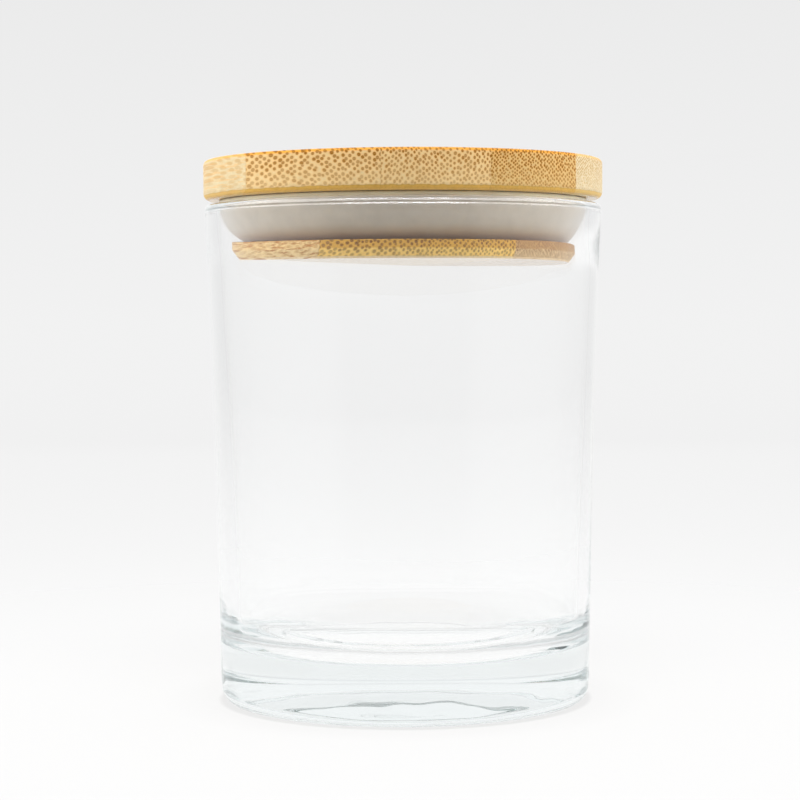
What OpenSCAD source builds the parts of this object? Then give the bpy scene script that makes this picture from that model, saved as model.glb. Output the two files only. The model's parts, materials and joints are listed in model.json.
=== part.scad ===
// Straight-sided glass candle jar with a push-in bamboo lid and a soft skirt seal.
// The origin is the centre of the base, on the plane that the jar stands on.
// +Z points up and every size is in millimetres.

/* [Jar] */
// Height of the glass, from the standing plane to the top of the rim
jar_h = 100.5; // [90:0.5:110]
// Outer diameter at the rim
rim_d = 80.6; // [78:0.1:84]
// Outer diameter just above the rounded heel
base_d = 75.2; // [72:0.1:77]
// Thickness of the wall at the rim
rim_t = 2.55; // [2.1:0.05:3]
// Radius of the rim's two rounded edges
rim_edge_r = 1; // [0.5:0.1:1]
// Thickness of the wall level with the inside floor
foot_wall_t = 3.6; // [3:0.1:5]
// Share of the wall's widening that is straight; the rest flares towards the lip
straight_share = 0.6; // [0.4:0.05:1]
// Height of the inside floor above the standing plane
floor_z = 12; // [8:0.5:16]
// Radius of the fillet between the inside floor and the wall
floor_fillet_r = 8; // [4:0.5:10]
// Depth of the shallow groove that runs round the edge of the inside floor
floor_groove_h = 1; // [0.2:0.1:1.5]
// Width of the slope from the groove up to the level part of the inside floor
floor_groove_w = 2; // [1:0.1:4]
// Radius of the rounded heel
heel_r = 2.6; // [1.5:0.1:4]
// Width of the flat ring that the jar stands on
foot_ring_w = 1.6; // [1:0.1:4]
// Height of the hollow in the underside at its centre
hollow_h = 4.4; // [0.8:0.1:4.5]
// Height of the rounded step that starts the hollow
hollow_step_h = 0.2; // [0.1:0.1:0.8]

/* [Lid cap] */
// Diameter of the cap
cap_d = 81; // [79:0.1:84]
// Thickness of the cap
cap_t = 7.9; // [6:0.1:12]
// Gap between the rim and the underside of the cap when the lid is seated
cap_gap = 1; // [0.5:0.1:3]
// Radius of the cap's top edge
cap_top_r = 0.9; // [0.3:0.1:2]
// Radius of the cap's bottom edge
cap_bottom_r = 1.4; // [0.3:0.1:2]

/* [Lid plug] */
// Diameter of the flange at the bottom of the plug
flange_d = 69.6; // [66:0.1:72]
// Thickness of the flange
flange_t = 3.6; // [3:0.1:6]
// Width of the chamfer under the flange
chamfer_w = 1.4; // [0.5:0.1:2]
// Height of the chamfer under the flange
chamfer_h = 2; // [0.5:0.1:2.4]
// Diameter of the neck that the seal sits on
neck_d = 62; // [58:0.1:63]
// Length of the neck, from the flange to the cap
neck_h = 9; // [8:0.1:11]

/* [Seal] */
// Outer diameter of the skirt where it meets the cap
seal_top_d = 74.8; // [74:0.1:75.2]
// Outer diameter of the skirt where it meets the flange
seal_foot_d = 65; // [64.5:0.1:67]
// Thickness of the skirt
skirt_t = 1.5; // [1:0.1:1.6]
// Height of the collar that grips the neck
collar_h = 3; // [2:0.1:5]
// Thickness of the collar
collar_t = 1.2; // [0.8:0.1:1.6]
// Clearance between the seal and the neck, the flange and the cap
seal_fit = 0.05; // [0.02:0.01:0.1]

/* [Bamboo boards] */
// Width of one bamboo strip of the cap
cap_strip_w = 20.6; // [20:0.1:22]
// Width of one bamboo strip of the plug
plug_strip_w = 17.9; // [16:0.1:22]
// Turn of the grain about the jar's axis, in degrees
grain_turn = 18; // [0:1:90]
// Distance from the axis to the glue line right of the middle of the cap
cap_line = 4.2; // [3:0.1:6]
// Distance from the axis to the glue line right of the middle of the plug
plug_line = 11.4; // [10:0.1:15]

/* [Hidden] */
$fn = 180;

ARC_STEPS = 8;    // straight steps in one rounded corner
WALL_STEPS = 12;  // straight steps in the flared outside of the wall

rim_r = rim_d / 2;
base_r = base_d / 2;
lip_z = jar_h - rim_edge_r;
mouth_r = rim_r - rim_t;
foot_inner_r = base_r - heel_r - foot_ring_w;

cap_z = jar_h + cap_gap;
cap_r = cap_d / 2;
flange_r = flange_d / 2;
neck_r = neck_d / 2;
flange_top_z = cap_z - neck_h;
flange_z = flange_top_z - flange_t;

seal_top_z = cap_z - seal_fit;
seal_z = flange_top_z + seal_fit;
seal_h = seal_top_z - seal_z;
seal_bore_r = neck_r + seal_fit;
seal_draw_in = (seal_top_d - seal_foot_d) / 2;
// The skirt is an arc that hangs straight down from the cap and curls in to the flange.
skirt_angle = 2 * atan(seal_draw_in / seal_h);
skirt_r = seal_h / sin(skirt_angle);
skirt_centre_r = seal_top_d / 2 - skirt_r;

// Points on an arc about (x, z), from one angle to another
function arc(x, z, r, from, to, steps = ARC_STEPS) =
  [for (i = [0:steps]) let (a = from + (to - from) * i / steps) [x + r * cos(a), z + r * sin(a)]];

// Outer radius of the glass at a share t of the way from the heel to the lip
function outer_r(t) =
  base_r + (rim_r - base_r) * (straight_share * t + (1 - straight_share) * pow(t, 3));

// Inner radius of the glass at a height; the inside is a plain draft
function inner_r(z) =
  let (foot_r = outer_r((floor_z - heel_r) / (lip_z - heel_r)) - foot_wall_t)
  foot_r + (mouth_r - foot_r) * (z - floor_z) / (lip_z - floor_z);

module jar() {
  fillet_z = floor_z - floor_groove_h + floor_fillet_r;
  fillet_x = inner_r(fillet_z) - floor_fillet_r;
  step_r = foot_inner_r - hollow_step_h;
  hollow_rise = hollow_h - hollow_step_h;
  underside = [
    for (i = [0:ARC_STEPS - 1])
      let (r = step_r * i / ARC_STEPS)
      [r, hollow_step_h + hollow_rise * (1 - pow(r / step_r, 2))]
  ];
  step = arc(step_r, 0, hollow_step_h, 90, 0);
  heel = arc(base_r - heel_r, heel_r, heel_r, -90, 0);
  wall = [
    for (i = [1:WALL_STEPS - 1])
      let (t = i / WALL_STEPS)
      [outer_r(t), heel_r + (lip_z - heel_r) * t]
  ];
  rim_outside = arc(rim_r - rim_edge_r, lip_z, rim_edge_r, 0, 90);
  rim_inside = arc(mouth_r + rim_edge_r, lip_z, rim_edge_r, 90, 180);
  fillet = arc(fillet_x, fillet_z, floor_fillet_r, 0, -90);
  floor_edge = [fillet_x - floor_groove_w, floor_z];
  color([0.86, 0.92, 0.92, 0.4])
    rotate_extrude()
      polygon(concat(
        underside, step, heel, wall, rim_outside, rim_inside, fillet, [floor_edge, [0, floor_z]]
      ));
}

module seal_ring() {
  skirt_inner_r = skirt_r - skirt_t;
  collar_r = seal_bore_r + collar_t;
  collar_z = seal_z + collar_h;
  // The inside of the skirt starts where it comes out of the collar's outer face.
  inner_from = acos((collar_r - skirt_centre_r) / skirt_inner_r);
  collar_top_z = max(collar_z, seal_top_z - skirt_inner_r * sin(inner_from));
  outside = arc(skirt_centre_r, seal_top_z, skirt_r, -skirt_angle, 0);
  inside = arc(skirt_centre_r, seal_top_z, skirt_inner_r, 0, -inner_from);
  color([0.72, 0.69, 0.64])
    rotate_extrude()
      polygon(concat(
        [[seal_bore_r, seal_z]], outside, inside,
        [[collar_r, collar_top_z], [seal_bore_r, collar_top_z]]
      ));
}

// The cap as one turned disc, before it is divided into its strips
module cap_disc() {
  top_edge = arc(cap_r - cap_top_r, cap_z + cap_t - cap_top_r, cap_top_r, 0, 90);
  bottom_edge = arc(cap_r - cap_bottom_r, cap_z + cap_bottom_r, cap_bottom_r, -90, 0);
  rotate_extrude()
    polygon(concat([[0, cap_z]], bottom_edge, top_edge, [[0, cap_z + cap_t]]));
}

// The plug as one turned disc: a neck for the seal above a chamfered flange
module plug_disc() {
  rotate_extrude()
    polygon([
      [0, flange_z],
      [flange_r - chamfer_w, flange_z],
      [flange_r, flange_z + chamfer_h],
      [flange_r, flange_top_z],
      [neck_r, flange_top_z],
      [neck_r, cap_z],
      [0, cap_z]
    ]);
}

// One strip of a board: what lies between two glue lines, counted across the grain
module strip_between(from, to) {
  rotate([0, 0, grain_turn])
    translate([from, -cap_d, 0])
      cube([to - from, 2 * cap_d, cap_z + 2 * cap_t]);
}

// Strip 1 to 5 of the cap; the outer two run out to the cap's edge
module cap_strip(number, shade) {
  from = (number == 1) ? -cap_d : cap_line + (number - 4) * cap_strip_w;
  to = (number == 5) ? cap_d : cap_line + (number - 3) * cap_strip_w;
  color(shade)
    intersection() {
      cap_disc();
      strip_between(from, to);
    }
}

// Strip 1 to 4 of the plug; the outer two run out to the flange's edge
module plug_strip(number, shade) {
  from = (number == 1) ? -cap_d : plug_line + (number - 4) * plug_strip_w;
  to = (number == 4) ? cap_d : plug_line + (number - 3) * plug_strip_w;
  color(shade)
    intersection() {
      plug_disc();
      strip_between(from, to);
    }
}

jar();
seal_ring();
cap_strip(1, [0.89, 0.74, 0.54]);  // cap_strip_1
cap_strip(2, [0.87, 0.71, 0.50]);  // cap_strip_2
cap_strip(3, [0.88, 0.73, 0.52]);  // cap_strip_3
cap_strip(4, [0.86, 0.69, 0.48]);  // cap_strip_4
cap_strip(5, [0.92, 0.80, 0.62]);  // cap_strip_5
plug_strip(1, [0.86, 0.68, 0.42]);  // plug_strip_1
plug_strip(2, [0.84, 0.65, 0.38]);  // plug_strip_2
plug_strip(3, [0.85, 0.67, 0.40]);  // plug_strip_3
plug_strip(4, [0.84, 0.63, 0.44]);  // plug_strip_4
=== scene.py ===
import json
import math

import bmesh
import bpy
from mathutils import Matrix, Vector, noise


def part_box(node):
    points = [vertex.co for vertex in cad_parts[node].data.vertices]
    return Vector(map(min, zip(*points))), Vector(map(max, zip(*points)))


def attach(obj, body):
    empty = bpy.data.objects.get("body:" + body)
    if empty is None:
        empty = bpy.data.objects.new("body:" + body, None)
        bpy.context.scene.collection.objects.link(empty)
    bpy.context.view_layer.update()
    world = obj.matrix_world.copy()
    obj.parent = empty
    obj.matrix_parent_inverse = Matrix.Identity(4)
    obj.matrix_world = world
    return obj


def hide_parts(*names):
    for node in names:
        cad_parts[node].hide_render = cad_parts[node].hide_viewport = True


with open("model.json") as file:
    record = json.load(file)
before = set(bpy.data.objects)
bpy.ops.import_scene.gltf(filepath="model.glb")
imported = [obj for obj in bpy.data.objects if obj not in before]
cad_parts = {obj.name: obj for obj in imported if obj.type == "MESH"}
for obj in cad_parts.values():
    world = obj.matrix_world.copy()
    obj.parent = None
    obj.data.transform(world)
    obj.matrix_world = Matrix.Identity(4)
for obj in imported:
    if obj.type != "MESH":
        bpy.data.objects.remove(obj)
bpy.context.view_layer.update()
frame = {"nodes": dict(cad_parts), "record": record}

# An empty candle jar: clear pressed glass, a soft skirt seal, and a lid of two glued bamboo boards.
# Sizes below are in millimetres. Everything is built in metres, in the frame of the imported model.

MM = 0.001


def reach(node):
    """The farthest that a CAD node gets from the jar's axis, in millimetres."""
    return max(math.hypot(v.co.x, v.co.y) for v in frame["nodes"][node].data.vertices) / MM


def level(node, top):
    """The height of a CAD node's top or bottom, in millimetres."""
    low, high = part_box(node)
    return (high.z if top else low.z) / MM


# ---------------------------------------------------------------- sizes

CAP_STRIPS = ["cap_strip_%d" % n for n in range(1, 6)]
PLUG_STRIPS = ["plug_strip_%d" % n for n in range(1, 5)]
TRIM = 0.01  # keeps each rounded surface inside the CAD box

rim_r = reach("jar") - TRIM
jar_h = level("jar", True)
base_r = rim_r * 0.933
rim_t = 2.55
rim_edge_r = 1.0
seam_z = 99.17
seam_w = 0.6
seam_deep = 0.09
heel_r = 2.6
foot_ring_w = 1.6
floor_z = 12.0
floor_fillet_r = 8.0
floor_groove_h = 1.0
floor_groove_w = 2.0
foot_wall_t = 3.6
straight_share = 0.6
hollow_h = 4.4
hollow_step_h = 0.2

seal_top_r = reach("seal_ring") - TRIM
seal_top_z = level("seal_ring", True)
seal_z = level("seal_ring", False)
seal_foot_r = 32.5
skirt_t = 1.5
neck_r = 31.0
seal_bore_r = neck_r + 0.05

cap_r = max(reach(n) for n in CAP_STRIPS) - TRIM
cap_z = level("cap_strip_3", False)
cap_top_z = level("cap_strip_3", True)
cap_top_round = 0.9
cap_bottom_round = 1.4

flange_r = max(reach(n) for n in PLUG_STRIPS) - TRIM
flange_z = level("plug_strip_3", False)
flange_top_z = seal_z - 0.05
chamfer_w = 1.4
chamfer_h = 2.0

GRAIN_TURN = math.radians(18)
CAP_STRIP_W = 20.6
PLUG_STRIP_W = 17.9
CAP_LINE = 4.2
PLUG_LINE = 11.4
cap_lines = [CAP_LINE + CAP_STRIP_W * n for n in (-2, -1, 0, 1)]
plug_lines = [PLUG_LINE + PLUG_STRIP_W * n for n in (-2, -1, 0)]

# ---------------------------------------------------------------- camera and studio

CAMERA_DISTANCE = 451.5
CAMERA_HEIGHT = 77.4
CAMERA_SIDE = -0.8
CAMERA_DOWN = math.radians(2.10)
CAMERA_ROLL = math.radians(-0.30)
LENS = 99.4

LED_STRENGTH = 1.6
LED_LENGTH = 620.0
LED_HEIGHT = 24.0
LAMP_BAND = 6.0  # how bright the front lamps show in the outside of the glass
BEHIND_BAND = 0.99
FLOOR_R = 2.5  # in metres, like the rate at which the floor fades
FLOOR_FADE = 2.8
FLOOR_WHITE = 0.26
FLOOR_GLOW = 0.59


def make_camera():
    data = bpy.data.cameras.new("camera")
    data.sensor_width = 36
    data.lens = LENS
    data.clip_start = 0.01
    data.clip_end = 30
    camera = bpy.data.objects.new("camera", data)
    bpy.context.scene.collection.objects.link(camera)
    turn = Matrix.Rotation(math.pi / 2 - CAMERA_DOWN, 4, "X") @ Matrix.Rotation(CAMERA_ROLL, 4, "Z")
    place = Matrix.Translation(Vector((CAMERA_SIDE, -CAMERA_DISTANCE, CAMERA_HEIGHT)) * MM)
    camera.matrix_world = place @ turn
    bpy.context.scene.camera = camera


class Shader:
    """A material's node tree, written as short calls."""

    def __init__(self, owner):
        owner.use_nodes = True
        self.tree = owner.node_tree
        self.tree.nodes.clear()

    def add(self, kind, settings=None, **inputs):
        """A node with its settings and inputs; an input that is a socket is linked."""
        made = self.tree.nodes.new("ShaderNode" + kind)
        for key, value in (settings or {}).items():
            setattr(made, key, value)
        for key, value in inputs.items():
            self.join(made.inputs[key.replace("_", " ")], value)
        return made

    def join(self, socket, value):
        if isinstance(value, bpy.types.NodeSocket):
            self.tree.links.new(value, socket)
        else:
            socket.default_value = value

    def calc(self, operation, *values, clamp=False):
        """A math node's result."""
        made = self.add("Math", {"operation": operation, "use_clamp": clamp})
        for place, value in enumerate(values):
            self.join(made.inputs[place], value)
        return made.outputs[0]

    def vector(self, x, y, z):
        return self.add("CombineXYZ", X=x, Y=y, Z=z).outputs[0]

    def span(self, value, low, high, to_low=0.0, to_high=1.0, smooth=False):
        """value, carried from low..high to to_low..to_high and held at the ends."""
        made = self.add("MapRange", {"interpolation_type": "SMOOTHSTEP" if smooth else "LINEAR"})
        for place, number in enumerate((value, low, high, to_low, to_high)):
            self.join(made.inputs[place], number)
        return made.outputs[0]

    def noise(self, vector, scale, detail=2.0, roughness=0.5):
        return self.add(
            "TexNoise", Vector=vector, Scale=scale, Detail=detail, Roughness=roughness
        ).outputs["Fac"]

    def ramp(self, value, stops):
        """A colour ramp from a list of (place, colour)."""
        made = self.add("ValToRGB", Fac=value)
        band = made.color_ramp
        while len(band.elements) < len(stops):
            band.elements.new(1.0)
        for element, (place, colour) in zip(band.elements, stops):
            element.position = place
            element.color = (*colour, 1.0) if len(colour) == 3 else colour
        return made.outputs["Color"]

    def mix(self, amount, one, two, way="MIX"):
        """Two colours mixed by an amount."""
        made = self.add("Mix", {"data_type": "RGBA", "blend_type": way})
        self.join(made.inputs[0], amount)
        for socket, value in ((made.inputs[6], one), (made.inputs[7], two)):
            self.join(socket, value if isinstance(value, bpy.types.NodeSocket) else (*value, 1.0))
        return made.outputs[2]

    def bump(self, height, strength, distance):
        return self.add(
            "Bump", Height=height, Strength=strength, Distance=distance * MM
        ).outputs[0]

    def finish(self, surface, volume=None):
        out = self.add("OutputMaterial", Surface=surface)
        if volume is not None:
            self.join(out.inputs["Volume"], volume)


def grey(value):
    return (value, value, value)


def make_world():
    """A light tent: brightest behind the jar, dimmer at the sides, in front and half way up.
    Gloss also shows its bright side panels and the dark opening in front."""
    world = bpy.data.worlds.new("studio")
    bpy.context.scene.world = world
    shader = Shader(world)
    calc, span = shader.calc, shader.span
    direction = shader.add("TexCoord").outputs["Generated"]
    x, y, z = shader.add("SeparateXYZ", Vector=direction).outputs
    level_share = calc("SQRT", calc("ADD", calc("MULTIPLY", x, x), calc("MULTIPLY", y, y)))
    front = calc("DIVIDE", calc("MULTIPLY", y, -1.0), calc("MAXIMUM", level_share, 0.01))
    height = shader.ramp(
        z,
        [
            (0.0, grey(0.885)), (0.14, grey(0.835)), (0.24, grey(0.66)), (0.32, grey(0.60)),
            (0.62, grey(0.60)), (0.85, grey(0.80)), (1.0, grey(0.85)),
        ],
    )
    round_share = calc("MULTIPLY_ADD", front, 0.5, 0.5)
    way = shader.ramp(
        round_share,
        [
            (0.0, grey(1.0)), (0.009, grey(1.0)), (0.022, grey(0.86)), (0.09, grey(0.80)),
            (0.20, grey(0.86)), (0.32, grey(1.0)), (0.5, grey(0.92)), (0.75, grey(0.58)),
            (1.0, grey(0.30)),
        ],
    )
    tent = shader.mix(1.0, height, way, "MULTIPLY")
    panels = shader.ramp(
        round_share,
        [
            (0.0, grey(0.905)), (0.02, grey(0.89)), (0.05, grey(0.84)), (0.12, grey(0.80)),
            (0.25, grey(0.83)), (0.45, grey(0.83)), (0.84, grey(0.80)), (0.90, grey(0.68)),
            (1.0, grey(0.68)),
        ],
    )
    # the front lamps show only in the outside of the glass
    path = shader.add("LightPath")
    direct = calc("LESS_THAN", path.outputs["Ray Depth"], 2.5)
    sharp = calc("MULTIPLY", direct, path.outputs["Is Singular Ray"])
    in_front = calc("MULTIPLY", sharp, span(round_share, 0.25, 0.40))
    lamps = shader.mix(in_front, grey(BEHIND_BAND), grey(LAMP_BAND))
    band = calc("MULTIPLY", span(z, 0.05, 0.10), span(z, 0.70, 0.80, 1.0, 0.0))
    gloss = shader.mix(band, shader.mix(span(z, 0.7, 0.9), panels, tent), lamps)
    is_gloss = path.outputs["Is Glossy Ray"]
    seen = shader.mix(path.outputs["Is Camera Ray"], shader.mix(is_gloss, tent, gloss), height)
    back = shader.add("Background", Color=seen, Strength=1.0)
    shader.add("OutputWorld", Surface=back.outputs[0])


def make_light(name, place, size, power, aim=(0, 0, 50)):
    """A large soft lamp that lights the wood and the seal. Glass and gloss show only the tent."""
    data = bpy.data.lights.new(name, "AREA")
    data.shape = "RECTANGLE"
    data.size, data.size_y = size[0] * MM, size[1] * MM
    data.energy = power
    lamp = bpy.data.objects.new(name, data)
    bpy.context.scene.collection.objects.link(lamp)
    lamp.location = Vector(place) * MM
    lamp.rotation_mode = "QUATERNION"
    lamp.rotation_quaternion = (Vector(aim) - Vector(place)).to_track_quat("-Z", "Y")
    lamp.visible_camera = False
    lamp.visible_glossy = False
    lamp.visible_transmission = False
    return lamp


def make_led_strip(name, y, z):
    """A long bright strip over the jar, seen only as a highlight in glass and gloss."""
    data = bpy.data.lights.new(name, "AREA")
    data.shape = "RECTANGLE"
    data.size, data.size_y = LED_LENGTH * MM, LED_HEIGHT * MM
    data.energy = 1.0
    lamp = bpy.data.objects.new(name, data)
    bpy.context.scene.collection.objects.link(lamp)
    lamp.location = Vector((0, y, z)) * MM
    lamp.rotation_euler = (math.radians(45), 0, 0)
    lamp.visible_camera = False
    lamp.visible_diffuse = False
    shader = Shader(data)
    direct = shader.calc("LESS_THAN", shader.add("LightPath").outputs["Ray Depth"], 2.5)
    glow = shader.add("Emission", Strength=shader.calc("MULTIPLY", direct, LED_STRENGTH))
    shader.add("OutputLight", Surface=glow.outputs[0])


def make_floor():
    """Pale glowing acrylic, which fades into the tent behind and all round."""
    bm = bmesh.new()
    bmesh.ops.create_circle(bm, cap_ends=True, segments=96, radius=FLOOR_R)
    mesh = bpy.data.meshes.new("floor")
    bm.to_mesh(mesh)
    bm.free()
    floor = bpy.data.objects.new("floor", mesh)
    bpy.context.scene.collection.objects.link(floor)
    material = bpy.data.materials.new("floor_acrylic")
    shader = Shader(material)
    place = shader.add("TexCoord").outputs["Object"]
    away = shader.add("VectorMath", {"operation": "LENGTH"}, Vector=place).outputs["Value"]
    # painted contact shadow in a ring under the round of the heel, fading outwards; and dimmer to
    # the wood and the seal than it looks
    under = shader.ramp(
        shader.span(away, 0.030, 0.050),
        [
            (0.0, grey(1.0)), (0.20, grey(1.0)), (0.25, grey(0.84)), (0.37, grey(0.84)),
            (0.42, grey(0.965)), (1.0, grey(1.0)),
        ],
    )
    path = shader.add("LightPath")
    seen = shader.calc("MULTIPLY_ADD", path.outputs["Is Diffuse Ray"], -0.25, 1.0)
    seen = shader.calc("MULTIPLY_ADD", path.outputs["Is Glossy Ray"], 0.03, seen)
    amount = shader.calc("MULTIPLY", under, seen)
    white = shader.vector(amount, amount, amount)
    tone = shader.add("VectorMath", {"operation": "SCALE"}, Vector=white, Scale=FLOOR_WHITE)
    surface = shader.add("BsdfDiffuse", Color=tone.outputs[0])
    glow = shader.add("Emission", Color=white, Strength=FLOOR_GLOW)
    acrylic = shader.add("AddShader")
    shader.join(acrylic.inputs[0], surface.outputs[0])
    shader.join(acrylic.inputs[1], glow.outputs[0])
    clear = shader.add("BsdfTransparent")
    kept = shader.calc("EXPONENT", shader.calc("MULTIPLY", away, -FLOOR_FADE))
    fade = shader.calc("SUBTRACT", 1.0, kept)
    # clear from below, so that it doesn't veil the jar's underside
    from_below = shader.add("NewGeometry").outputs["Backfacing"]
    both = shader.add("MixShader", Fac=shader.calc("MAXIMUM", fade, from_below))
    shader.join(both.inputs[1], acrylic.outputs[0])
    shader.join(both.inputs[2], clear.outputs[0])
    shader.finish(both.outputs[0])
    mesh.materials.append(material)


# ---------------------------------------------------------------- turned shapes


def arc(x, z, r, start, end, steps):
    """Points on an arc about (x, z), from one angle to another in degrees."""
    turns = [math.radians(start + (end - start) * n / steps) for n in range(steps + 1)]
    return [(x + r * math.cos(t), z + r * math.sin(t)) for t in turns]


def line(start, end, steps):
    """Evenly spaced points after start, up to and including end."""
    return [
        (start[0] + (end[0] - start[0]) * n / steps, start[1] + (end[1] - start[1]) * n / steps)
        for n in range(1, steps + 1)
    ]


def turned(outline, steps, closed=False, move=None):
    """A bmesh that revolves an outline of (radius, height) round the jar's axis.
    move, where given, takes (step in the outline, point) and returns the point moved."""
    bm = bmesh.new()
    rings = []
    for place, (r, z) in enumerate(outline):
        count = 1 if r < 1e-6 else steps
        ring = []
        for n in range(count):
            turn = 2 * math.pi * n / steps
            point = Vector((r * math.cos(turn), r * math.sin(turn), z))
            if move:
                point = move(place, point)
            ring.append(bm.verts.new(point * MM))
        rings.append(ring)
    pairs = list(zip(rings, rings[1:]))
    if closed:
        pairs.append((rings[-1], rings[0]))
    for one, two in pairs:
        for n in range(steps):
            corners = [
                one[n % len(one)], one[(n + 1) % len(one)],
                two[(n + 1) % len(two)], two[n % len(two)],
            ]
            corners = [c for k, c in enumerate(corners) if c not in corners[:k]]
            if len(corners) > 2:
                bm.faces.new(corners)
    bmesh.ops.recalc_face_normals(bm, faces=bm.faces)
    return bm


def piece(name, bm, material, body, slot, *nodes, crease=40):
    """Turns a bmesh into a named piece that rides on a body and replaces CAD nodes."""
    for face in bm.faces:
        face.smooth = True
    for edge in bm.edges:
        if edge.is_manifold and edge.calc_face_angle(0) > math.radians(crease):
            edge.smooth = False
    mesh = bpy.data.meshes.new(name)
    bm.to_mesh(mesh)
    bm.free()
    mesh.materials.append(material)
    made = bpy.data.objects.new(name, mesh)
    bpy.context.scene.collection.objects.link(made)
    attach(made, body)
    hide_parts(*nodes)
    return made


# ---------------------------------------------------------------- the glass jar

JAR_STEPS = 288
INSIDE_OFF = Vector((0.4, 0.1, 0))  # the inside stands a little off the jar's axis


def smooth_step(value, low, high):
    t = min(1.0, max(0.0, (value - low) / (high - low)))
    return t * t * (3 - 2 * t)


lip_z = jar_h - rim_edge_r
mouth_r = rim_r - rim_t


def outer_r(z):
    """The outside's radius, which grows a little towards the rim."""
    t = (z - heel_r) / (lip_z - heel_r)
    return base_r + (rim_r - base_r) * (straight_share * t + (1 - straight_share) * t ** 3)


foot_r = outer_r(floor_z) - foot_wall_t


def inner_r(z):
    return foot_r + (mouth_r - foot_r) * (z - floor_z) / (lip_z - floor_z)


step_r = base_r - heel_r - foot_ring_w - hollow_step_h
groove_z = floor_z - floor_groove_h
fillet_z = groove_z + floor_fillet_r
fillet_x = inner_r(fillet_z) - floor_fillet_r


def seamed(z):
    """A point of the wall's outside, with the shallow mould seam just under the rim."""
    across = (z - seam_z) / seam_w
    dent = seam_deep * 0.5 * (1 + math.cos(2 * math.pi * across)) if abs(across) < 0.5 else 0
    return (outer_r(z) - dent, z)


def jar_dome():
    """The hollow in the underside, from the axis out to its step."""
    rise = hollow_h - hollow_step_h
    return [(step_r * n / 24, hollow_step_h + rise * (1 - (n / 24) ** 2)) for n in range(24)]


def jar_wall():
    """The outside from the heel up, in close steps across the seam, and over the rim."""
    low, high = seam_z - seam_w / 2, min(seam_z + seam_w / 2, lip_z - 0.01)
    wall = [seamed(heel_r + (low - heel_r) * n / 60) for n in range(1, 61)]
    wall += [seamed(low + (high - low) * n / 20) for n in range(1, 21)]
    wall += arc(rim_r - rim_edge_r, lip_z, rim_edge_r, 0, 90, 16)
    return wall + arc(mouth_r + rim_edge_r, lip_z, rim_edge_r, 90, 180, 16)


def jar_floor():
    """The inside fillet, the shallow groove and the floor, in to the axis."""
    fillet = arc(fillet_x, fillet_z, floor_fillet_r, 0, -90, 20)
    groove = [
        (fillet_x - floor_groove_w * n / 8, groove_z + floor_groove_h * smooth_step(n, 0, 8))
        for n in range(1, 9)
    ]
    plateau_r = fillet_x - floor_groove_w
    return fillet + groove + [(plateau_r * (1 - n / 20), floor_z) for n in range(1, 21)]


def uneven_floor(point, r, out):
    """The floor rises and falls a little, and its fillet moves in and out."""
    x, y, z = point
    flow = noise.noise(Vector((x * 0.09, y * 0.09, 3.0)))
    fine = noise.noise(Vector((x * 0.22, y * 0.22, z * 0.22 + 7.0)))
    lift = 0.14 * flow + 0.05 * fine
    lean = smooth_step(r, fillet_x - 2, fillet_x + floor_fillet_r)
    off = INSIDE_OFF * smooth_step(r, 2.0, fillet_x)
    return point + Vector((0, 0, lift * (1 - lean))) - out * (lift * lean) + off


def uneven_inside(point, out):
    """The inside of the wall wavers below the seal, most of all near the floor."""
    x, y, z = point
    deep = 1 - smooth_step(z, 86, 96)
    flow = noise.noise(Vector((x * 0.05, y * 0.05, z * 0.025 + 11.0)))
    low = 1 - smooth_step(z, 20, 32)
    return point - out * (0.05 + 0.10 * low) * flow * deep + INSIDE_OFF * deep


def uneven_heel(point, out):
    x, y, z = point
    flow = noise.noise(Vector((x * 0.18, y * 0.18, 17.0)))
    return point - out * (0.16 * (1 + flow) * smooth_step(z, 0.0, 1.0))


def uneven_dome(point, r):
    flow = 0.06 * noise.noise(Vector((point.x * 0.16, point.y * 0.16, 5.0)))
    return point + Vector((0, 0, flow * (1 - smooth_step(r, step_r - 6, step_r - 1))))


def make_jar():
    dome = jar_dome()
    step = arc(step_r, 0, hollow_step_h, 90, 0, 8)
    heel = arc(base_r - heel_r, heel_r, heel_r, -90, 0, 14)
    wall = jar_wall()
    inside_steps = 60
    inside_h = lip_z - fillet_z
    heights = [lip_z - inside_h * n / inside_steps for n in range(1, inside_steps)]
    inside = [(inner_r(z), z) for z in heights]
    first_heel = len(dome) + len(step)
    first_wall = first_heel + len(heel)
    first_inside = first_wall + len(wall)
    first_fillet = first_inside + len(inside)

    def waver(place, point):
        """The small unevenness of pressed glass, most of it in the floor and its fillet."""
        r = math.hypot(point.x, point.y)
        out = Vector((point.x, point.y, 0)) / r if r > 1e-6 else Vector((0, 0, 0))
        if place >= first_fillet:
            return uneven_floor(point, r, out)
        if place >= first_inside:
            return uneven_inside(point, out)
        if first_heel < place < first_wall:
            return uneven_heel(point, out)
        if place < len(dome) and r < step_r - 1:
            return uneven_dome(point, r)
        return point

    bm = turned(dome + step + heel + wall + inside + jar_floor(), JAR_STEPS, move=waver)
    jar = piece("jar_glass", bm, glass_material(), "glass", "clear_glass", "jar", crease=60)
    jar.visible_shadow = False
    jar.visible_diffuse = False


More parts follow.
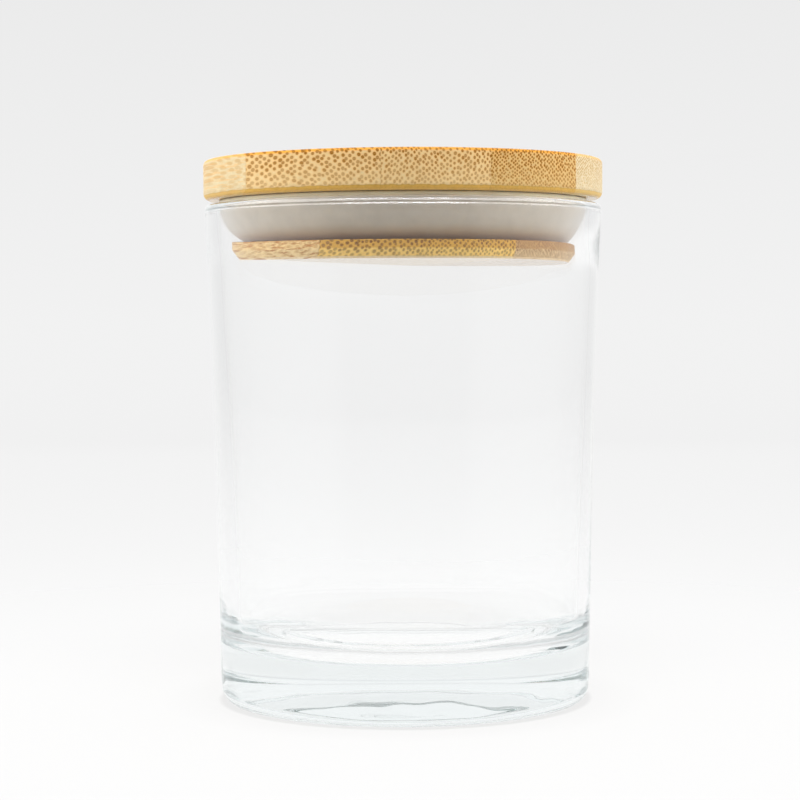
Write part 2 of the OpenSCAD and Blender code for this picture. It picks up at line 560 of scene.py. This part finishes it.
def glass_material():
    material = bpy.data.materials.new("clear_glass")
    shader = Shader(material)
    place = shader.add("TexCoord").outputs["Object"]
    ripple = shader.noise(place, 55.0, 2.0)
    # the ring that the jar stands on is stippled
    height = shader.add("SeparateXYZ", Vector=place).outputs["Z"]
    stipple = shader.span(height, 0.05 * MM, 0.5 * MM, 0.4, 0.0)
    # the fire-polished rim has a second, softer gloss that holds small lights
    polish = shader.span(height, 98.4 * MM, 98.7 * MM)
    surface = shader.add(
        "BsdfPrincipled",
        Base_Color=(1.0, 1.0, 1.0, 1.0),
        Roughness=stipple,
        IOR=1.52,
        Transmission_Weight=1.0,
        Coat_Weight=polish,
        Coat_Roughness=0.12,
        Normal=shader.bump(ripple, 0.02, 0.4),
    )
    tint = shader.add("VolumeAbsorption", Color=(0.66, 0.78, 0.79, 1.0), Density=4.5)
    shader.finish(surface.outputs[0], tint.outputs[0])
    return material


# ---------------------------------------------------------------- the seal


def make_seal():
    height = seal_top_z - seal_z
    draw_in = seal_top_r - seal_foot_r
    sweep = 2 * math.atan(draw_in / height)
    skirt_r = height / math.sin(sweep)
    centre = seal_top_r - skirt_r
    inner_r = skirt_r - skirt_t
    collar_r = seal_bore_r + 1.2
    collar_top = seal_z + 3.0
    start = math.degrees(math.acos((collar_r - centre) / inner_r))
    lip = 0.35
    outside = arc(centre, seal_top_z, skirt_r, -math.degrees(sweep), -3, 28)
    top_out = arc(seal_top_r - lip, seal_top_z - lip, lip, 0, 90, 6)
    top_in = arc(seal_top_r - skirt_t + lip, seal_top_z - lip, lip, 90, 180, 6)
    inside = arc(centre, seal_top_z, inner_r, -3, -start, 24)
    collar = [
        (collar_r, collar_top), (seal_bore_r + 0.3, collar_top), (seal_bore_r, collar_top - 0.3),
    ]
    foot = [(seal_bore_r, seal_z + 0.2), (seal_bore_r + 0.2, seal_z)]
    outline = foot + outside + top_out + top_in + inside + collar
    bm = turned(outline, 240, closed=True)
    return piece("seal_skirt", bm, silicone_material(), "seal", "silicone", "seal_ring", crease=50)


def silicone_material():
    """Milky silicone, with painted shade and light by height: brown where it meets the plug, a
    taupe ring under its lip, and a yellowish glow at its lip.
    """
    material = bpy.data.materials.new("silicone")
    shader = Shader(material)
    place = shader.add("TexCoord").outputs["Object"]
    height = shader.add("SeparateXYZ", Vector=place).outputs["Z"]
    share = shader.span(height, seal_z * MM, seal_top_z * MM)
    cloud = shader.noise(place, 120.0, 2.0)
    shade = shader.calc("MULTIPLY_ADD", cloud, 0.10, shader.calc("SUBTRACT", share, 0.05))
    dusting = shader.span(shader.noise(place, 260.0, 3.0, 0.6), 0.3, 0.7, 0.92, 1.05)
    # painted shade: dark brown at the foot over the plug, with the plug's wood painted in as if
    # seen through, and a taupe ring under the lip; painted light: pale yellowish at the lip
    tone = shader.ramp(
        shade,
        [
            (0.0, (0.34, 0.13, 0.02)), (0.14, (0.47, 0.33, 0.19)), (0.32, (0.55, 0.47, 0.36)),
            (0.50, (0.58, 0.51, 0.41)), (0.78, (0.59, 0.52, 0.42)),
            (0.83, (0.38, 0.31, 0.21)), (0.88, (0.38, 0.31, 0.21)),
            (0.93, (0.84, 0.75, 0.53)), (1.0, (0.84, 0.75, 0.53)),
        ],
    )
    dusted = shader.add("VectorMath", {"operation": "SCALE"}, Vector=tone, Scale=dusting)
    surface = shader.add(
        "BsdfPrincipled",
        Base_Color=dusted.outputs[0],
        Roughness=shader.span(cloud, 0.3, 0.7, 0.30, 0.36),
        IOR=1.41,
        Specular_IOR_Level=0.25,
        Transmission_Weight=0.15,
        Sheen_Weight=0.7,
        Sheen_Roughness=0.5,
        Subsurface_Weight=0.5,
        Subsurface_Radius=(1.0, 0.8, 0.6),
        Subsurface_Scale=0.0015,
    )
    shader.finish(surface.outputs[0])
    return material


# ---------------------------------------------------------------- bamboo


LINE_SHADE = 0.8  # the shade of the thin line above the golden foot
PAINTED_GAP_SHADE = (0.20, 0.11, 0.02)  # painted shade: dark brown put on wood in a narrow gap
PAINTED_DEEP_SHADE = (0.50, 0.54, 0.53)  # painted shade: grey put on wood seen only by way of many reflections in the glass


def bundle_lattice(shader, u, depth, slow, seed, spacing):
    """A lattice of diamonds with a bundle in each, which drifts a little sideways along its
    length: a point's distance from the bundle's middle, the bundle's mark, and its own number."""
    calc, span = shader.calc, shader.span
    drift = shader.add("TexNoise", Vector=slow, Scale=1.0, Detail=1.0)
    shift_u, shift_z, _ = shader.add("SeparateXYZ", Vector=drift.outputs["Color"]).outputs
    across = calc("ADD", u, calc("MULTIPLY_ADD", shift_u, 3.0, seed * 3.7))
    down = calc("MULTIPLY_ADD", shift_z, 2.0, calc("MULTIPLY", depth, 1.1))

    k = math.sqrt(0.5) / spacing
    a = calc("MULTIPLY", calc("ADD", across, down), k)
    b = calc("MULTIPLY", calc("SUBTRACT", across, down), k)
    spot = shader.vector(a, b, 0.0)
    cell = shader.add(
        "TexVoronoi", {"voronoi_dimensions": "2D"}, Vector=spot, Scale=1.0, Randomness=0.52
    )
    off = shader.add("VectorMath", {"operation": "SUBTRACT"})
    shader.join(off.inputs[0], spot)
    shader.join(off.inputs[1], cell.outputs["Position"])
    off_a, off_b, _ = shader.add("SeparateXYZ", Vector=off.outputs[0]).outputs
    wide = calc("MULTIPLY", calc("ADD", off_a, off_b), math.sqrt(0.5))
    tall = calc("MULTIPLY", calc("SUBTRACT", off_a, off_b), math.sqrt(0.5))
    pick, number, _ = shader.add("SeparateXYZ", Vector=cell.outputs["Color"]).outputs
    size = span(pick, 0.0, 1.0, 0.31, 0.44)
    wide_share = calc("DIVIDE", wide, size)
    tall_share = calc("DIVIDE", tall, calc("MULTIPLY", size, 1.32))
    squares = calc("ADD", calc("POWER", wide_share, 2.0), calc("POWER", tall_share, 2.0))
    radial = calc("SQRT", squares)

    # each bundle is two dark lobes with a paler seam between them
    lean = calc("MULTIPLY_ADD", wide, span(number, 0.0, 1.0, -0.5, 0.5), tall)
    seam_share = calc("ABSOLUTE", calc("DIVIDE", lean, size))
    seam = span(seam_share, 0.03, 0.22, 0.75, 1.0, smooth=True)
    mark = calc("MULTIPLY", span(radial, 0.55, 1.0, 1.0, 0.0, smooth=True), seam)
    return radial, mark, number


def ground_tissue(shader, share, slow, normal, tones):
    """An orange skin, a warm middle and a golden foot, and the board's top."""
    top, skin, middle, inside, foot, _ = tones
    line_tone = tuple(LINE_SHADE * c for c in foot)
    patchy = shader.noise(slow, 14.0, 2.0)
    skin_share = shader.calc("MULTIPLY_ADD", patchy, 0.05, shader.calc("SUBTRACT", share, 0.025))
    ground = shader.ramp(
        skin_share,
        [
            (0.0, skin), (0.055, skin), (0.10, middle), (0.46, middle), (0.53, inside),
            (0.88, inside), (0.892, line_tone), (0.915, foot), (1.0, foot),
        ],
    )
    facing_up = shader.add("SeparateXYZ", Vector=normal).outputs["Z"]
    is_top = shader.span(facing_up, 0.80, 0.97, smooth=True)
    return shader.mix(is_top, ground, top), shader.calc("ABSOLUTE", facing_up)


def scar_tone(shader, tone, fibre, grain, centre):
    """A tone, darker in a small ragged spot."""
    gap = shader.add("VectorMath", {"operation": "DISTANCE"})
    shader.join(gap.inputs[0], grain)
    gap.inputs[1].default_value = centre
    rough_edge = shader.calc("MULTIPLY_ADD", fibre, 0.8, gap.outputs["Value"])
    return shader.calc("MULTIPLY", tone, shader.span(rough_edge, 0.9, 2.0, 0.45, 1.0, smooth=True))


def glue_lines(shader, colour, u, low, high, deep):
    """A faint glue line on each side of a strip."""
    calc = shader.calc
    near = calc(
        "MINIMUM",
        calc("ABSOLUTE", calc("SUBTRACT", u, low)),
        calc("ABSOLUTE", calc("SUBTRACT", u, high)),
    )
    return shader.mix(shader.span(near, 0.02, 0.10, 0.14, 0.0), colour, deep)


def shaded(shader, colour):
    """Painted shade: wood is painted dark brown in a narrow gap, and painted grey where it shows
    only deep in the glass.
    """
    open_share = shader.add("AmbientOcclusion", {"samples": 8}, Distance=3.0 * MM).outputs["AO"]
    # painted shade: ambient occlusion blends the wood towards dark brown in narrow gaps
    colour = shader.mix(shader.span(open_share, 0.1, 0.7), PAINTED_GAP_SHADE, colour)
    bounces = shader.add("LightPath").outputs["Ray Depth"]
    # painted shade: wood reached after four or more bounces is blended to grey, fully by six
    return shader.mix(shader.span(bounces, 4.0, 6.0), colour, PAINTED_DEEP_SHADE)


def bamboo_material(name, seed, spacing, skin_z, thick, low, high, tones, dark, streak, scar=None):
    """Flat-laid bamboo as a solid texture: bundles run along the grain, so that end grain shows
    dots and long grain shows streaks. tones are (top, skin, ground, inside, foot, bundle) colours,
    dark is the strength of the bundles, streak is the share of the skin's colour in the streaks,
    and scar is a darker spot's (across, along, depth)."""
    material = bpy.data.materials.new(name)
    shader = Shader(material)
    calc, span = shader.calc, shader.span
    coords = shader.add("TexCoord")
    scaled = shader.add(
        "VectorMath", {"operation": "SCALE"}, Vector=coords.outputs["Object"], Scale=1 / MM
    )
    grain = shader.add(
        "VectorRotate", {"rotation_type": "Z_AXIS"}, Vector=scaled.outputs[0], Angle=-GRAIN_TURN
    ).outputs[0]
    u, v, z = shader.add("SeparateXYZ", Vector=grain).outputs
    depth = calc("SUBTRACT", skin_z, z)
    share = calc("DIVIDE", depth, thick, clamp=True)
    slow = shader.vector(
        calc("MULTIPLY", u, 0.07),
        calc("MULTIPLY", v, 0.035),
        calc("MULTIPLY_ADD", z, 0.08, seed),
    )
    radial, mark, number = bundle_lattice(shader, u, depth, slow, seed, spacing)
    strength = calc(
        "MULTIPLY", span(number, 0.0, 1.0, 0.75, 1.15), span(share, 0.05, 0.9, 1.0, 0.45)
    )
    strength = calc("MULTIPLY", strength, span(share, 0.86, 0.90, dark, 0.2 * dark))
    bundle = calc("MULTIPLY", mark, strength, clamp=True)
    ground, flatness = ground_tissue(shader, share, slow, coords.outputs["Normal"], tones)

    along = shader.vector(
        calc("MULTIPLY", u, 5.0), calc("MULTIPLY", v, 0.10), calc("MULTIPLY", z, 5.0)
    )
    fibre = shader.noise(along, 1.0, 3.0, 0.6)
    patches = span(shader.noise(slow, 9.0, 2.0), 0.3, 0.7, 0.94, 1.05)
    tone = calc("MULTIPLY", span(fibre, 0.25, 0.75, 0.92, 1.08), patches)
    if scar:
        tone = scar_tone(shader, tone, fibre, grain, (scar[0], scar[1], skin_z - scar[2]))
    lit = shader.add("VectorMath", {"operation": "SCALE"}, Vector=ground, Scale=tone)

    skin, deep = tones[1], tones[5]
    broad = shader.vector(
        calc("MULTIPLY", u, 0.8), calc("MULTIPLY", v, 0.06), calc("MULTIPLY", z, 2.2)
    )
    streaks = span(shader.noise(broad, 1.0, 3.0, 0.6), 0.50, 0.60, 0.0, streak)
    halo = span(radial, 0.9, 1.9, 0.42, 0.0, smooth=True)
    warmth = calc("MAXIMUM", streaks, calc("MULTIPLY", halo, strength), clamp=True)
    colour = shader.mix(bundle, shader.mix(warmth, lit.outputs[0], skin), deep)
    colour = glue_lines(shader, colour, u, low, high, deep)

    height = calc("SUBTRACT", calc("MULTIPLY", fibre, 0.35), calc("MULTIPLY", bundle, 0.5))
    surface = shader.add(
        "BsdfPrincipled",
        Base_Color=shaded(shader, colour),
        Roughness=calc("MULTIPLY_ADD", bundle, 0.10, span(flatness, 0.8, 1.0, 0.46, 0.14)),
        Specular_IOR_Level=span(flatness, 0.8, 1.0, 0.10, 0.45),
        Normal=shader.bump(height, 0.35, 0.06),
    )
    shader.finish(surface.outputs[0])
    return material


# top, skin, ground, inside, foot, bundle
CAP_TONES = {
    "plain": (
        (0.66, 0.42, 0.18), (0.78, 0.35, 0.05), (0.72, 0.55, 0.285),
        (0.72, 0.55, 0.285), (0.72, 0.43, 0.10), (0.30, 0.12, 0.012),
    ),
    "warm": (
        (0.62, 0.38, 0.15), (0.74, 0.32, 0.04), (0.59, 0.43, 0.19),
        (0.59, 0.43, 0.19), (0.70, 0.42, 0.10), (0.26, 0.105, 0.010),
    ),
    "edge": (
        (0.70, 0.46, 0.22), (0.76, 0.42, 0.12), (0.67, 0.56, 0.345),
        (0.67, 0.56, 0.345), (0.74, 0.48, 0.15), (0.50, 0.24, 0.04),
    ),
    "pale": (
        (0.76, 0.54, 0.28), (0.76, 0.48, 0.18), (0.65, 0.57, 0.39),
        (0.65, 0.57, 0.39), (0.74, 0.50, 0.17), (0.44, 0.27, 0.10),
    ),
}
PLUG_TONES = {
    "gold": (
        (0.70, 0.46, 0.17), (0.58, 0.28, 0.03), (0.62, 0.35, 0.055),
        (0.97, 0.66, 0.18), (0.88, 0.68, 0.40), (0.17, 0.06, 0.004),
    ),
    "blond": (
        (0.76, 0.54, 0.26), (0.44, 0.17, 0.03), (0.76, 0.55, 0.25),
        (0.84, 0.63, 0.31), (0.88, 0.70, 0.44), (0.42, 0.18, 0.04),
    ),
    "pink": (
        (0.72, 0.50, 0.26), (0.40, 0.19, 0.06), (0.53, 0.33, 0.13),
        (0.76, 0.56, 0.30), (0.82, 0.62, 0.38), (0.26, 0.11, 0.03),
    ),
}


# a darker spot in the front edge of the fourth strip: across, along, depth
CAP_SCAR = (7.0, -38.8, 0.9)
NO_LINE = 99.0  # past the edge of the board, where a strip has no glue line


def cut_between(bm, low, high):
    """Keeps what lies between two glue lines and closes both cuts."""
    across = Vector((math.cos(GRAIN_TURN), math.sin(GRAIN_TURN), 0))
    for at, side in ((low, "clear_inner"), (high, "clear_outer")):
        if at is None:
            continue
        everything = bm.verts[:] + bm.edges[:] + bm.faces[:]
        bmesh.ops.bisect_plane(
            bm, geom=everything, plane_co=across * at * MM, plane_no=across, **{side: True}
        )
        open_edges = [e for e in bm.edges if e.is_boundary]
        bmesh.ops.holes_fill(bm, edges=open_edges, sides=0)
    bmesh.ops.recalc_face_normals(bm, faces=bm.faces)


def make_board(names, outline, lines, looks, skin_z, thick):
    """The strips of one turned board. looks is (spacing, tones, darkness, streak) for each."""
    edges = [None, *lines, None]
    for place, name in enumerate(names):
        low, high = edges[place], edges[place + 1]
        bm = turned(outline, 360)
        cut_between(bm, low, high)
        spacing, tones, dark, streak = looks[place]
        seed = 1.0 + 2.3 * place + skin_z
        line_low = -NO_LINE if low is None else low
        line_high = NO_LINE if high is None else high
        scar = CAP_SCAR if name == "cap_strip_4" else None
        material = bamboo_material(
            "bamboo_" + name, seed, spacing, skin_z, thick, line_low, line_high, tones, dark,
            streak, scar,
        )
        slot = next(s["material_slot"] for s in frame["record"]["subparts"] if s["node"] == name)
        piece(name + "_wood", bm, material, "lid", slot, name)


def make_cap():
    bottom = arc(cap_r - cap_bottom_round, cap_z + cap_bottom_round, cap_bottom_round, -90, 0, 10)
    top = arc(cap_r - cap_top_round, cap_top_z - cap_top_round, cap_top_round, 0, 90, 10)
    outline = [(0, cap_z), *bottom, *top, (0, cap_top_z)]
    plain, warm = CAP_TONES["plain"], CAP_TONES["warm"]
    edge, pale = CAP_TONES["edge"], CAP_TONES["pale"]
    looks = [
        (0.95, edge, 0.45, 0.45), (0.92, plain, 1.0, 0.15), (0.82, plain, 1.0, 0.10),
        (0.64, warm, 1.3, 0.15), (0.50, pale, 1.0, 0.30),
    ]
    make_board(CAP_STRIPS, outline, cap_lines, looks, cap_top_z, cap_top_z - cap_z)


def make_plug():
    chamfer_low = (flange_r - chamfer_w, flange_z + 0.05)
    chamfer_high = (flange_r - 0.03, flange_z + chamfer_h - 0.1)
    outline = [
        (0, flange_z),
        *line((flange_r - chamfer_w - 0.1, flange_z), chamfer_low, 1),
        *line(chamfer_low, chamfer_high, 4),
        (flange_r, flange_z + chamfer_h + 0.05),
        (flange_r, flange_top_z - 0.15),
        (flange_r - 0.15, flange_top_z),
        (neck_r, flange_top_z),
        (neck_r, cap_z),
        (0, cap_z),
    ]
    gold, blond, pink = PLUG_TONES["gold"], PLUG_TONES["blond"], PLUG_TONES["pink"]
    looks = [
        (0.90, blond, 0.45, 0.90), (0.88, gold, 1.0, 0.15), (0.72, gold, 1.0, 0.15),
        (0.48, pink, 1.3, 0.40),
    ]
    skin_z = flange_top_z + 0.3
    make_board(PLUG_STRIPS, outline, plug_lines, looks, skin_z, skin_z - flange_z)


# ---------------------------------------------------------------- put together

make_camera()
make_world()
make_light("soft_left", (-800, -150, 260), (700, 700), 5.7)
make_light("soft_right", (800, -150, 260), (700, 700), 5.7)
make_light("soft_front", (0, -480, 820), (800, 400), 4.3)
make_light("soft_back", (0, 800, 380), (800, 600), 2.4)
make_light("soft_top", (0, 0, 1000), (1100, 1100), 4.0)
make_led_strip("led_front", -330, 386)
make_floor()
make_jar()
make_seal()
make_cap()
make_plug()

scene = bpy.context.scene
scene.view_settings.view_transform = "Standard"
scene.cycles.use_denoising = True
scene.cycles.max_bounces = 64
scene.cycles.transmission_bounces = 64
scene.cycles.glossy_bounces = 64
